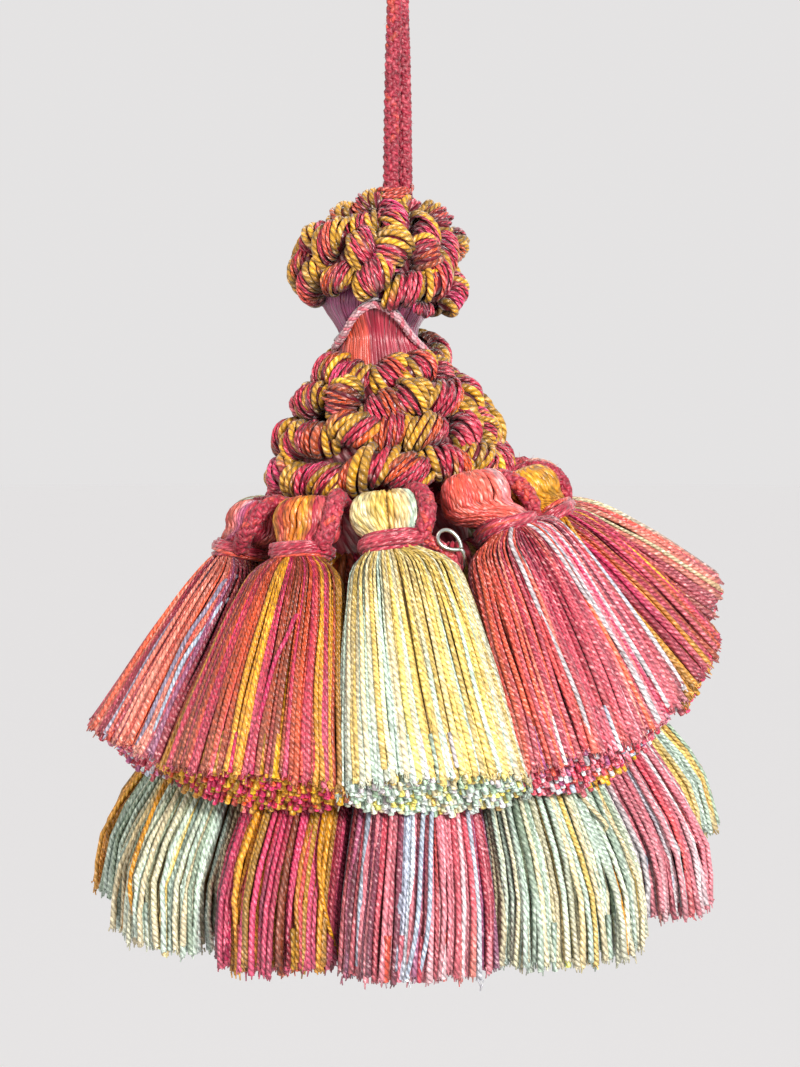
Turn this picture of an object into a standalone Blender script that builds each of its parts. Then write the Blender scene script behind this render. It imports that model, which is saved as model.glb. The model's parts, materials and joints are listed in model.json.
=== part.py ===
"""Key tassel: a looped cord, two gimp ruffs on a wrapped mould, and two tiers of mini tassels.

The tables are in millimetres and degrees.  Heights in them are measured from the waist plane, the
level of the upper tier's bindings, and azimuth 0 faces the front (-Y), growing towards +X.
The object's origin is the inside of the top of the hanging loop.
"""
import math
from collections import namedtuple

import bmesh
import bpy
from mathutils import Vector

MM = 0.001
WAIST_PLANE = -90.0
GAP = 0.3
SIDE_GAP_DEG = 0.5

# The body hangs a little askew.  LEAN is how far its axis stands to the right at each height, and
# TILT is how much a ring at that height rises for each millimetre to the right.
LEAN = ((41.5, -1.2), (37.0, -3.0), (30.0, -3.0), (20.0, -1.7), (10.0, -1.2), (0.0, -0.4),
        (-28.0, 0.6))
TILT = ((41.0, 0.0), (37.0, -0.10), (33.0, -0.10), (28.0, 0.0), (20.0, 0.05), (10.0, 0.11),
        (0.0, 0.115), (-28.0, 0.02), (-52.0, 0.0))

CORD_DIAMETER = 2.1
CORD_POINTS = 29
# The doubled cord: up the left leg, round the bight and down the right leg, from the loop's inside.
CORD_ROUTE = (
    (-0.96, -0.76, -49.6), (-0.96, -0.76, -44.0), (-0.90, -0.84, -38.0), (-0.82, -0.92, -32.0),
    (-0.70, -1.01, -26.0), (-0.55, -1.10, -21.0), (-0.44, -1.18, -17.0), (-0.42, -1.60, -13.5),
    (-0.58, -2.60, -10.5), (-0.84, -3.90, -7.3), (-1.02, -4.80, -3.75), (-0.88, -4.16, -1.35),
    (-0.51, -2.40, 0.41), (0.0, 0.0, 1.05), (0.51, 2.40, 0.41), (0.88, 4.16, -1.35),
    (1.02, 4.80, -3.75), (0.84, 3.90, -7.3), (0.58, 2.60, -10.5), (0.42, 1.60, -13.5),
    (0.44, 1.18, -17.0), (0.55, 1.10, -21.0), (0.70, 1.01, -26.0), (0.82, 0.92, -32.0),
    (0.90, 0.84, -38.0), (0.96, 0.76, -44.0), (0.96, 0.76, -49.6))

Turning = namedtuple("Turning", "height radius")
MOULD_SIDES = 20
MOULD = tuple(Turning(*row) for row in (
    (40.1, 5.0), (35.0, 5.3), (32.4, 7.3), (31.0, 7.2), (28.6, 5.4), (27.0, 4.9), (25.2, 5.5),
    (22.0, 6.0), (18.0, 6.2), (15.5, 7.6), (13.0, 9.2), (8.0, 9.5), (4.5, 10.2), (-8.0, 10.2),
    (-11.0, 7.0)))

RuffRow = namedtuple("RuffRow", "name radius height half_width half_height knuckles")
RUFF_ROWS = tuple(RuffRow(*row) for row in (
    ("top_ruff_upper_row", 6.0, 43.4, 2.4, 2.9, 7),
    ("top_ruff_lower_row", 9.8, 36.3, 4.2, 4.1, 12),
    ("skirt_ruff_upper_row", 10.6, 19.8, 4.5, 5.0, 12),
    ("skirt_ruff_lower_row", 13.9, 10.4, 4.5, 4.3, 16)))
RUFF_SIDES = 6
RUFF_STEPS_PER_KNUCKLE = 3
KNUCKLE_DIP = 0.14

# Heights of the neck tie by azimuth: it peaks at the front and drops to the right.
TIE_DIAMETER = 1.1
TIE_HEIGHT = ((-180, 25.6), (-90, 26.6), (-50, 28.4), (-22, 29.7), (0, 30.7), (20, 30.0),
              (50, 27.2), (90, 24.8), (135, 24.8), (180, 25.6))
TIE_POINTS = 18

# A yarn bundle is lofted through sections across its centre line.  left and right are how many
# degrees it reaches to each side, spread is how far it opens from there to meet its neighbours
# (1 is all the way), and depth is half its thickness.
Section = namedtuple("Section", "radius height left right spread depth")
UPPER_SECTIONS = tuple(Section(*row) for row in (
    (19.7, 8.0, 7.0, 4.0, 0.0, 1.6),
    (20.0, 6.8, 12.0, 6.0, 0.0, 3.0),
    (20.3, 4.4, 13.6, 6.8, 0.0, 3.8),
    (21.4, 1.9, 8.3, 7.2, 0.0, 2.7),
    (22.3, -1.0, 8.3, 8.0, 0.0, 2.7),
    (24.1, -3.7, 8.3, 8.3, 0.75, 3.2),
    (26.5, -7.6, 8.3, 8.3, 0.93, 4.1),
    (30.4, -13.8, 8.3, 8.3, 0.98, 4.3),
    (35.1, -21.2, 8.3, 8.3, 1.0, 4.2),
    (39.3, -28.3, 8.3, 8.3, 1.0, 4.0)))
LOWER_SECTIONS = tuple(Section(*row) for row in (
    (14.3, -1.6, 7.0, 7.0, 0.0, 1.6),
    (14.6, -4.8, 13.0, 13.0, 0.0, 3.7),
    (15.9, -8.8, 9.0, 9.0, 0.0, 2.6),
    (16.5, -11.2, 9.0, 9.0, 0.0, 2.6),
    (17.6, -14.0, 9.0, 9.0, 0.70, 4.4),
    (20.2, -22.0, 9.0, 9.0, 0.95, 8.0),
    (24.0, -33.0, 9.0, 9.0, 1.0, 12.0),
    (27.6, -43.0, 9.0, 9.0, 1.0, 15.0),
    (28.6, -51.5, 9.0, 9.0, 1.0, 15.6)))
UPPER_WAIST = (3, 4)
LOWER_WAIST = (2, 3)
UPPER_TILT = 1.0
LOWER_TILT = 0.3
BUNDLE_SIDES = 10
BUNDLE_SQUARENESS = 0.75

# Each mini tassel's place: the azimuths of its head, waist and rim, how many degrees its waist
# sways out and its skirt kicks out, and its length against the rest.
Place = namedtuple("Place", "head waist rim sway kick stretch")
UPPER_PLACES = tuple(Place(*row) for row in (
    (-69, -75, -70, 0, 3, 0.96), (-31, -33, -27, 0, 1, 1.0), (-1, -1, 6, 0, 0, 1.0),
    (34, 42, 38, 0, 2, 0.98), (66, 73, 79, 5, 14, 0.82), (103, 103, 99, 15, 26, 0.75),
    (143, 143, 149, 0, 6, 0.94), (182, 182, 185, 0, 3, 0.97), (218, 218, 219, 0, 2, 1.0),
    (253, 250, 253, 0, 3, 0.97)))
LOWER_PLACES = tuple(Place(*row) for row in (
    (-62, -62, -52, 0, 0, 1.0), (-28, -28, -27, 0, 0, 1.0), (4, 4, 0, 0, 0, 1.0),
    (38, 38, 36, 0, 0, 1.0), (72, 72, 72, 0, 0, 0.97), (107, 107, 108, 0, 0, 0.96),
    (143, 143, 144, 0, 0, 0.98), (180, 180, 181, 0, 0, 1.0), (219, 219, 220, 0, 0, 1.0),
    (258, 258, 261, 0, 0, 0.98)))

BINDING_THICKNESS = 1.1
BINDING_HALF_HEIGHT = 0.95
BINDING_ROUNDING = 0.3

# A hanger runs from the mould, past the right of the head and down to the binding.  sink is how
# far it has gone from the head's azimuth to the waist's, and turn is its angle to the right.
Stop = namedtuple("Stop", "radius height turn sink")
HANGER_DIAMETER = 2.5
HANGER_POINTS = 7
HANGER = tuple(Stop(*row) for row in (
    (11.9, 4.6, 11.2, 0.0), (14.6, 4.6, 11.2, 0.0), (17.8, 5.6, 11.2, 0.0),
    (20.4, 6.5, 11.3, 0.0), (22.4, 5.6, 11.4, 0.1), (23.2, 4.2, 11.5, 0.35),
    (23.3, 3.2, 11.6, 0.65)))

EYE_TASSEL = 2
EYE_TURN = 17.5
EYE_RADIUS = 25.2
EYE_HEIGHT = 0.0
EYE_RING = 1.45
EYE_WIRE = 0.3
EYE_SEGMENTS = 12
EYE_SIDES = 6

# Colours: red, green, blue, roughness, metallic.
Finish = namedtuple("Finish", "red green blue roughness metallic")
CORD_FINISH = Finish(0.50, 0.05, 0.10, 0.75, 0.0)
FLOSS_FINISH = Finish(0.42, 0.07, 0.17, 0.45, 0.0)
TIE_FINISH = Finish(0.70, 0.25, 0.33, 0.5, 0.0)
GIMP_FINISH = Finish(0.52, 0.20, 0.05, 0.6, 0.0)
BINDING_FINISH = Finish(0.58, 0.10, 0.14, 0.5, 0.0)
WIRE_FINISH = Finish(0.75, 0.75, 0.78, 0.3, 1.0)
CORAL_FINISH = Finish(0.72, 0.17, 0.16, 0.5, 0.0)
AMBER_FINISH = Finish(0.55, 0.14, 0.05, 0.5, 0.0)
SAGE_FINISH = Finish(0.62, 0.68, 0.45, 0.5, 0.0)
UPPER_FINISHES = (CORAL_FINISH, AMBER_FINISH, SAGE_FINISH, CORAL_FINISH, AMBER_FINISH,
                  CORAL_FINISH, SAGE_FINISH, CORAL_FINISH, AMBER_FINISH, SAGE_FINISH)
LOWER_FINISHES = (SAGE_FINISH, AMBER_FINISH, CORAL_FINISH, SAGE_FINISH, CORAL_FINISH,
                  AMBER_FINISH, SAGE_FINISH, CORAL_FINISH, AMBER_FINISH, CORAL_FINISH)


def clear_scene():
    for item in list(bpy.data.objects):
        bpy.data.objects.remove(item, do_unlink=True)


def read_table(table, key):
    """The value at key, on straight lines between the rows of (key, value)."""
    rows = sorted(table)
    if key <= rows[0][0]:
        return rows[0][1]
    for (low, first), (high, second) in zip(rows, rows[1:]):
        if key <= high:
            return first + (second - first) * (key - low) / (high - low)
    return rows[-1][1]


def polar(radius, azimuth, height):
    """A point round the leaning axis, in metres."""
    turn = math.radians(azimuth)
    across = read_table(LEAN, height) + radius * math.sin(turn)
    rise = read_table(TILT, height) * across
    return Vector((across, -radius * math.cos(turn), height + rise + WAIST_PLANE)) * MM


def finish_object(thing, finish):
    material = bpy.data.materials.new(thing.name + "_finish")
    material.use_nodes = True
    shader = material.node_tree.nodes["Principled BSDF"]
    shader.inputs["Base Color"].default_value = (finish.red, finish.green, finish.blue, 1.0)
    shader.inputs["Roughness"].default_value = finish.roughness
    shader.inputs["Metallic"].default_value = finish.metallic
    thing.data.materials.append(material)


def mesh_object(name, rings, finish, closed):
    """Skin rings of points; a closed tube joins its last ring to its first, others get caps."""
    work = bmesh.new()
    loops = [[work.verts.new(point) for point in ring] for ring in rings]
    pairs = list(zip(loops, loops[1:]))
    if closed:
        pairs.append((loops[-1], loops[0]))
    for first, second in pairs:
        count = len(first)
        for index in range(count):
            after = (index + 1) % count
            work.faces.new((first[index], first[after], second[after], second[index]))
    if not closed:
        for loop in (loops[0], loops[-1]):
            centre = work.verts.new(sum((vert.co for vert in loop), Vector()) / len(loop))
            for index, vert in enumerate(loop):
                work.faces.new((vert, loop[(index + 1) % len(loop)], centre))
    bmesh.ops.recalc_face_normals(work, faces=work.faces)
    mesh = bpy.data.meshes.new(name)
    work.to_mesh(mesh)
    work.free()
    mesh.shade_smooth()
    mesh.set_sharp_from_angle(angle=math.radians(50))
    thing = bpy.data.objects.new(name, mesh)
    bpy.context.collection.objects.link(thing)
    finish_object(thing, finish)


def smooth_route(route, count):
    """count points, evenly spaced, on a smooth curve through the route's points."""
    points = [Vector(point) for point in route]
    padded = [2 * points[0] - points[1]] + points + [2 * points[-1] - points[-2]]
    steps = 16
    dense = []
    for before, start, end, after in zip(padded, padded[1:], padded[2:], padded[3:]):
        for step in range(steps):
            t = step / steps
            dense.append(0.5 * (2 * start + (end - before) * t
                                + (2 * before - 5 * start + 4 * end - after) * t ** 2
                                + (3 * start - before - 3 * end + after) * t ** 3))
    dense.append(points[-1])
    reach = [0.0]
    for first, second in zip(dense, dense[1:]):
        reach.append(reach[-1] + (second - first).length)
    even = []
    index = 0
    for number in range(count):
        wanted = reach[-1] * number / (count - 1)
        while index < len(dense) - 2 and reach[index + 1] < wanted:
            index += 1
        share = (wanted - reach[index]) / (reach[index + 1] - reach[index])
        even.append(dense[index].lerp(dense[index + 1], share))
    return even


def cord_object(name, points, diameter, finish, cyclic=False):
    curve = bpy.data.curves.new(name, "CURVE")
    curve.dimensions = "3D"
    curve.bevel_depth = diameter / 2 * MM
    curve.bevel_resolution = 2
    curve.use_fill_caps = not cyclic
    spline = curve.splines.new("POLY")
    spline.points.add(len(points) - 1)
    for slot, point in zip(spline.points, points):
        slot.co = (*point, 1.0)
    spline.use_cyclic_u = cyclic
    thing = bpy.data.objects.new(name, curve)
    bpy.context.collection.objects.link(thing)
    finish_object(thing, finish)


def make_hanging_cord():
    route = smooth_route(CORD_ROUTE, CORD_POINTS)
    cord_object("hanging_cord", [point * MM for point in route], CORD_DIAMETER, CORD_FINISH)


def make_mould():
    rings = []
    for row in MOULD:
        turns = [360 * index / MOULD_SIDES for index in range(MOULD_SIDES)]
        rings.append([polar(row.radius, turn, row.height) for turn in turns])
    mesh_object("wrapped_mould", rings, FLOSS_FINISH, closed=False)


def make_ruff_row(row):
    """A ring of knuckles: a tube round the mould that draws in between one knuckle and the next."""
    steps = row.knuckles * RUFF_STEPS_PER_KNUCKLE
    rings = []
    for step in range(steps):
        azimuth = 360 * step / steps
        dip = KNUCKLE_DIP * (1 - math.cos(math.radians(azimuth * row.knuckles))) / 2
        ring = []
        for side in range(RUFF_SIDES):
            angle = 2 * math.pi * (side + 0.5) / RUFF_SIDES
            radius = row.radius + row.half_width * (1 - dip) * math.cos(angle)
            height = row.height + row.half_height * (1 - dip) * math.sin(angle)
            ring.append(polar(radius, azimuth, height))
        rings.append(ring)
    mesh_object(row.name, rings, GIMP_FINISH, closed=True)


def make_neck_tie():
    profile = [(row.height, row.radius) for row in MOULD]
    points = []
    for number in range(TIE_POINTS):
        azimuth = 360 * number / TIE_POINTS - 180
        height = read_table(TIE_HEIGHT, azimuth)
        seat = max(read_table(profile, height + rise) for rise in (-0.5, 0.0, 0.5))
        points.append(polar(seat + GAP + TIE_DIAMETER / 2, azimuth, height))
    cord_object("neck_tie", points, TIE_DIAMETER, TIE_FINISH, cyclic=True)


def swing(out, up, degrees):
    """A step outwards and up, turned outwards by some degrees."""
    turn = math.radians(degrees)
    return (out * math.cos(turn) - up * math.sin(turn), up * math.cos(turn) + out * math.sin(turn))


def place_sections(sections, waist, place):
    """The sections of one bundle, with its waist swayed and its skirt kicked out and stretched."""
    upper, pivot = sections[waist[0]], sections[waist[1]]
    sway = swing(pivot.radius - upper.radius, pivot.height - upper.height, place.sway)
    hub = (upper.radius + sway[0], upper.height + sway[1])
    placed = []
    for number, section in enumerate(sections):
        radius, height = section.radius, section.height
        if number >= waist[1]:
            step = swing((radius - pivot.radius) * place.stretch,
                         (height - pivot.height) * place.stretch, place.kick)
            radius, height = hub[0] + step[0], hub[1] + step[1]
        placed.append(section._replace(radius=radius, height=height))
    return placed


def reach_of(degrees, spread, half_pitch):
    return min(degrees + (half_pitch - degrees) * spread, half_pitch)


def section_ring(section, lean, station, swell, rise):
    """Points round one section, swollen by swell and moved by rise along the centre line."""
    extra = math.degrees(swell / section.radius)
    across_left = reach_of(section.left, section.spread, station.left_pitch) + extra
    across_right = reach_of(section.right, section.spread, station.right_pitch) + extra
    depth = section.depth + swell
    ring = []
    for side in range(BUNDLE_SIDES):
        angle = 2 * math.pi * (side + 0.5) / BUNDLE_SIDES
        across = math.copysign(abs(math.cos(angle)) ** BUNDLE_SQUARENESS, math.cos(angle))
        outward = math.copysign(abs(math.sin(angle)) ** BUNDLE_SQUARENESS, math.sin(angle))
        turn = across * (across_right if across > 0 else across_left)
        radius = section.radius + depth * outward * math.cos(lean) - rise * math.sin(lean)
        height = section.height + depth * outward * math.sin(lean) + rise * math.cos(lean)
        ring.append(polar(radius, station.azimuth + turn, height))
    return ring


def centre_line_leans(sections, tilt):
    """How far each section's plane is tipped from level, following the centre line."""
    leans = []
    for number in range(len(sections)):
        above = sections[max(number - 1, 0)]
        below = sections[min(number + 1, len(sections) - 1)]
        run = below.radius - above.radius
        leans.append(tilt * math.atan2(run, above.height - below.height))
    return leans


# Where a section stands: its azimuth, and half the angle to the neighbour on each side.
Station = namedtuple("Station", "azimuth left_pitch right_pitch")


def azimuth_at(place, number, waist, last):
    """The azimuth of one section: the head's, then the waist's, then on to the rim's."""
    if number < waist[0]:
        return place.head
    share = max(number - waist[1], 0) / (last - waist[1])
    return place.waist + (place.rim - place.waist) * share


def station_of(places, number, section, waist, last):
    around = [azimuth_at(place, section, waist, last) for place in places]
    here = around[number]
    left = (here - around[number - 1]) % 360 / 2
    right = (around[(number + 1) % len(places)] - here) % 360 / 2
    return Station(here, left - SIDE_GAP_DEG, right - SIDE_GAP_DEG)


def make_mini_tassel(tier, sections, waist, tilt, places, number, finish):
    placed = place_sections(sections, waist, places[number])
    leans = centre_line_leans(placed, tilt)
    last = len(placed) - 1
    stations = [station_of(places, number, index, waist, last) for index in range(last + 1)]
    rings = [section_ring(section, lean, station, 0.0, 0.0)
             for section, lean, station in zip(placed, leans, stations)]
    name = "%s_tassel_%02d" % (tier, number + 1)
    mesh_object(name + "_bundle", rings, finish, closed=False)
    make_binding(name + "_binding", placed[waist[0]], placed[waist[1]], stations[waist[1]])


def make_binding(name, upper, lower, station):
    """A band of wraps round the waist, between the two sections that bound it."""
    middle = Section(*((first + second) / 2 for first, second in zip(upper, lower)))
    lean = math.atan2(lower.radius - upper.radius, upper.height - lower.height)
    inner = GAP
    outer = GAP + BINDING_THICKNESS
    edge = BINDING_HALF_HEIGHT
    rounded = BINDING_HALF_HEIGHT - BINDING_ROUNDING
    corners = ((inner, edge), (outer, rounded), (outer, -rounded), (inner, -edge))
    rings = [section_ring(middle, lean, station, swell, rise) for swell, rise in corners]
    mesh_object(name, rings, BINDING_FINISH, closed=True)


def make_hanger(number):
    place = UPPER_PLACES[number]
    route = [polar(stop.radius, place.head + (place.waist - place.head) * stop.sink + stop.turn,
                   stop.height) for stop in HANGER]
    points = smooth_route(route, HANGER_POINTS)
    cord_object("upper_tassel_%02d_hanger" % (number + 1), points, HANGER_DIAMETER, CORD_FINISH)


def make_wire_eye():
    centre = polar(EYE_RADIUS, UPPER_PLACES[EYE_TASSEL].waist + EYE_TURN, EYE_HEIGHT)
    rings = []
    for step in range(EYE_SEGMENTS):
        turn = 2 * math.pi * step / EYE_SEGMENTS
        ring = []
        for side in range(EYE_SIDES):
            angle = 2 * math.pi * side / EYE_SIDES
            reach = (EYE_RING + EYE_WIRE * math.cos(angle)) * MM
            depth = EYE_WIRE * math.sin(angle) * MM
            ring.append(centre + Vector((reach * math.cos(turn), depth, reach * math.sin(turn))))
        rings.append(ring)
    mesh_object("wire_eye", rings, WIRE_FINISH, closed=True)


clear_scene()
make_hanging_cord()
make_mould()
for ruff_row in RUFF_ROWS:
    make_ruff_row(ruff_row)
make_neck_tie()
for index, finish_of_bundle in enumerate(UPPER_FINISHES):
    make_mini_tassel("upper", UPPER_SECTIONS, UPPER_WAIST, UPPER_TILT, UPPER_PLACES, index,
                     finish_of_bundle)
    make_hanger(index)
for index, finish_of_bundle in enumerate(LOWER_FINISHES):
    make_mini_tassel("lower", LOWER_SECTIONS, LOWER_WAIST, LOWER_TILT, LOWER_PLACES, index,
                     finish_of_bundle)
make_wire_eye()
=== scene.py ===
"""Looks of the key tassel: every yarn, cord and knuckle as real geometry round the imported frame.

Tables are in millimetres and degrees.  Heights in them are measured from the waist plane, the level
of the upper tier's bindings, and azimuth 0 faces the front (-Y), growing towards +X.
"""

import json
import math
from collections import namedtuple

import bpy
import numpy as np
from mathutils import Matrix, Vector

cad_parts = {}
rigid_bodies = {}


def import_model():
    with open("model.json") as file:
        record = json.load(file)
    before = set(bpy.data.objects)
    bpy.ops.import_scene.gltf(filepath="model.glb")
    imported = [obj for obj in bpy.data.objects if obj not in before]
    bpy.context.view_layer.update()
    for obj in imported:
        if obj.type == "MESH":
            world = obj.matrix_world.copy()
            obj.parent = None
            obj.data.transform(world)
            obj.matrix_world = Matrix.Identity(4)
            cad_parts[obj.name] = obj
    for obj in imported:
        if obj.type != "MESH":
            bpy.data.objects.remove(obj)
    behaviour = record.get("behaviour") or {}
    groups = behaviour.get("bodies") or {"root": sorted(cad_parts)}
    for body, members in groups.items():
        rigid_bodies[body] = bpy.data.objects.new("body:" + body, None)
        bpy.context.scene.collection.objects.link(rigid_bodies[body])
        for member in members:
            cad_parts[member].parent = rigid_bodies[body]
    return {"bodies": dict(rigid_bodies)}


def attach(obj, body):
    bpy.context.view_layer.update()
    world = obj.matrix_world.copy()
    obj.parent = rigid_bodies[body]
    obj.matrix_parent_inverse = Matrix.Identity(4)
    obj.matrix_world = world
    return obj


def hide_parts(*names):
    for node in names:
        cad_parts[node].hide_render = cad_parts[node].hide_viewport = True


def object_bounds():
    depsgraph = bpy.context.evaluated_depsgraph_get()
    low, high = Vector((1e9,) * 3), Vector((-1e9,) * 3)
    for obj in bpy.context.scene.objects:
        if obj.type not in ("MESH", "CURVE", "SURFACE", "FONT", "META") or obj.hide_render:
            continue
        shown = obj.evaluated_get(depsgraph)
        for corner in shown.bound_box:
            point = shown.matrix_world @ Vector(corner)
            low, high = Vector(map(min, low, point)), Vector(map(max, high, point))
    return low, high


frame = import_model()
CAD_BOX = [list(map(float, corner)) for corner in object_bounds()]

MM = 0.001
BODY = next(iter(frame["bodies"]))
WAIST_PLANE = -90.0

# The body hangs a little askew: where its axis stands, and how a level ring rises to the right.
LEAN = ((-28, 0.6), (0, -0.4), (10, -1.2), (20, -1.7), (30, -3), (37, -3),
        (41.5, -1.2))
TILT = ((-52, 0), (-28, 0.02), (0, 0.115), (10, 0.11), (20, 0.05), (28, 0),
        (33, -0.1), (37, -0.1), (41, 0))

# The mould's radius at each height.
MOULD = ((-11, 7), (-8, 10.2), (4.5, 10.2), (8, 9.5), (13, 9.2), (15.5, 7.6),
         (18, 6.2), (22, 6), (25.2, 5.5), (27, 4.9), (28.6, 5.4), (31, 7.2),
         (32.4, 7.3), (35, 5.3), (40.1, 5))

# The doubled cord: up the left leg, round the bight and down the right leg, in millimetres of the frame.
CORD_DIAMETER = 2.1
CORD_ROUTE = (
    (-0.96, -0.76, -49.6), (-0.96, -0.76, -44), (-0.9, -0.84, -38), (-0.82, -0.92, -32),
    (-0.7, -1.01, -26), (-0.55, -1.1, -21), (-0.44, -1.18, -17), (-0.42, -1.6, -13.5),
    (-0.58, -2.6, -10.5), (-0.84, -3.9, -7.3), (-1.02, -4.8, -3.75), (-0.88, -4.16, -1.35),
    (-0.51, -2.4, 0.41), (0, 0, 1.05), (0.51, 2.4, 0.41), (0.88, 4.16, -1.35),
    (1.02, 4.8, -3.75), (0.84, 3.9, -7.3), (0.58, 2.6, -10.5), (0.42, 1.6, -13.5),
    (0.44, 1.18, -17), (0.55, 1.1, -21), (0.7, 1.01, -26), (0.82, 0.92, -32),
    (0.9, 0.84, -38), (0.96, 0.76, -44), (0.96, 0.76, -49.6))

# The neck tie's height at each azimuth: it peaks at the front.
TIE_HEIGHT = ((-180, 25.6), (-120, 25.4), (-80, 25.8), (-50, 27.4), (-28, 29.2), (-6, 31.2),
              (4, 31.3), (22, 29.8), (50, 26.8), (80, 24.8), (120, 24.4), (180, 25.6))

# A bundle's sections across its centre line, from its top to its rim: radius, height, reach to the
# left and right in degrees, how far it has spread to meet its neighbours, and half its thickness.
UPPER_SECTIONS = (
    (19.6, 6.6, 6, 4.5, 0, 0.7),
    (19.7, 6.4, 11, 8, 0, 2.2),
    (20, 5.4, 13, 9.4, 0, 3.4),
    (20.4, 3.9, 13.4, 9.8, 0, 3.8),
    (21, 2.5, 12, 9.4, 0, 3.4),
    (21.6, 1.2, 8.6, 8, 0, 2.8),
    (22.3, -0.8, 8.4, 8.2, 0, 2.8),
    (24, -3.2, 8.3, 8.3, 0.74, 3.4),
    (26.5, -7.6, 8.3, 8.3, 0.93, 4.2),
    (30.4, -13.8, 8.3, 8.3, 1, 4.4),
    (35.1, -21.2, 8.3, 8.3, 1.03, 4.3),
    (39.3, -28.3, 8.3, 8.3, 1.05, 4.1))
LOWER_SECTIONS = (
    (14, -1.6, 6, 6, 0, 1),
    (14.3, -1.8, 9, 9, 0, 2),
    (14.5, -3.2, 12, 12, 0, 3.2),
    (14.7, -5.6, 13, 13, 0, 3.6),
    (15.9, -8.8, 9, 9, 0, 2.7),
    (16.5, -11.2, 9, 9, 0, 2.7),
    (17.6, -14, 9, 9, 0.7, 4.4),
    (20.2, -22, 9, 9, 0.95, 8),
    (24, -33, 9, 9, 1, 12),
    (27.6, -43, 9, 9, 1.03, 15),
    (28.6, -51.5, 9, 9, 1.04, 15.6))
SQUARENESS = 0.75  # the power that squares up a section's ellipse
SIDE_GAP_DEG = 0.2  # from a bundle's side to the middle between it and its neighbour
LIFT_SPAN = 6.4  # how far above the waist a head's lift is felt in full
PAST_RIM = 60.0  # millimetres beyond the rim for a whole length along

# The looks of a colourway, in dyes: the heart of a skirt and of a head, and the cut ends.  lock is how
# far its strands draw together towards their ends.
Colourway = namedtuple("Colourway", "slot heart head_heart cut lock")
COLOURWAYS = {
    "r": Colourway("yarn_coral_rose", "p", "k", "rnckrhncbq", 0.16),
    "g": Colourway("yarn_gold_rust", "w", "u", "ldmcaulmcd", 0.34),
    "s": Colourway("yarn_butter_sage", "d", "y", "ttgtehty", 0.12)}

# A mini tassel: its colourway, the azimuths of its waist and rim, the dyes across its outer face, left
# to right, and pairs of a dye and its tips' dye.  What sets it apart comes after them: how many degrees
# its head stands past its waist, its waist sways out, its skirt kicks out and its rim crowds its right
# neighbour's; its length against the rest; how much higher its head and its skirt's left and right
# edges stand; its own dyes for its head, its cut ends and those at the back of its right half; and its
# strays, each with the share across where it starts and ends, its dye, and how far along it does so.
Place = namedtuple("Place", "colourway waist rim front tips past sway kick crowd stretch lift left right "
                            "head cut behind strays", defaults=(0, 0, 0, 0, 1, 0, 0, 0, "", "", "", ()))
UPPER_PLACES = (
    Place("r", -75, -70, "rkskcskoksksrckskoskcccvskscsksossrqc", "kr rc", past=11, kick=3, stretch=0.96,
          lift=-0.4, head="rkskrkssnqrc", strays=((0.84, 0.74, "v", 0.64, 1), (0.92, 0.84, "b", 0.7, 1))),
    Place("g", -33, -27, "wuaacmwcumcuukuaaaamcuwuwumwukcuacaaa", "uw wu km", past=2, kick=1,
          head="aukakuacr", strays=((0.4, 0.06, "m", 0.74, 0.94),)),
    Place("s", -1, 6, "eteyyeeteyeteeeyeyyyyeyyyyeyyyeyyeeyet", "et", lift=-0.2, head="eeyeyyyyayeett"),
    Place("r", 42, 39, "kokkokkkoksckokrckrckcrcrckrcrccrbrcnrcnrchnrcnhrcnhrcnrhcnr", "kr cr", past=-8,
          kick=2, crowd=4, stretch=0.98, lift=1.2, right=6, head="kkokkskkrkrsrhrnk", behind="aalam",
          strays=((-0.5, -0.32, "h", 0.48, 1), (0.15, 0.42, "h", 0.47, 1))),
    Place("g", 73, 81, "acmucwmaucmacuwmcmacrmc", "mr ua", past=-7, sway=5, kick=14, stretch=0.82,
          lift=0.2, left=-2.5, head="aaadaaau", strays=((-0.68, -1.12, "a", 0.44, 0.76),
          (-0.6, -1.08, "a", 0.44, 0.8), (-0.52, -1.02, "a", 0.44, 0.86))),
    Place("r", 103, 99, "sesrkseseskrsreskrse", "sr er", sway=15, kick=26, stretch=0.75, lift=0.2),
    Place("s", 143, 149, "eyyegegteyyegyeet", "et yy", kick=6, stretch=0.94, lift=0.2),
    Place("r", 182, 185, "rkskrcpkrvbrkskrp", "kr sr", kick=3, stretch=0.97, lift=0.2),
    Place("g", 218, 219, "aumuawumkaauumwma", "uw km", kick=2, lift=0.2),
    Place("s", 250, 253, "yyegeyytgeeyygete", "et ge", kick=3, stretch=0.97, lift=-1.2))
LOWER_PLACES = (
    Place("s", -62, -50, "adatggetgatggetgtegytgtegteg", "gt ge", head="dgd",
          strays=((-0.25, -0.02, "a", 0.62, 0.99),)),
    Place("g", -28, -25, "mcmcpcmcaacdamcmcwmucmaacm", "cm ua", strays=((0.6, 0.95, "a", 0.7, 1.01),)),
    Place("r", 4, 0, "bprqpbnqprqnpbbnqnrnnrnrnqcqr", "pr", strays=((0.3, 0.02, "b", 0.6, 1),
          (0.38, 0.12, "b", 0.6, 1))),
    Place("s", 38, 37, "gtgttgtgttgtetytgtytgattgtytgtgttgtt", "gt te", right=2, head="crp",
          strays=((-0.25, 0.3, "e", 0.72, 0.86),)),
    Place("r", 72, 71, "bhnrnhnrnhnrnrnhnrnbgd", "rn", stretch=0.97, left=0.5, right=3.2),
    Place("g", 107, 105, "gytydygydggdyggtd", "gt dy", kick=7, stretch=0.87, cut="dlgydltgld"),
    Place("s", 143, 144, "tgytgeytggteyt", "gt", stretch=0.98),
    Place("r", 180, 181, "rkprbrkscrvrkr", "kr"),
    Place("g", 219, 220, "amuamcuaamuum", "ua"),
    Place("r", 258, 261, "rkudaskaudadaaagtgtg", "ks", stretch=0.98))

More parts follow.
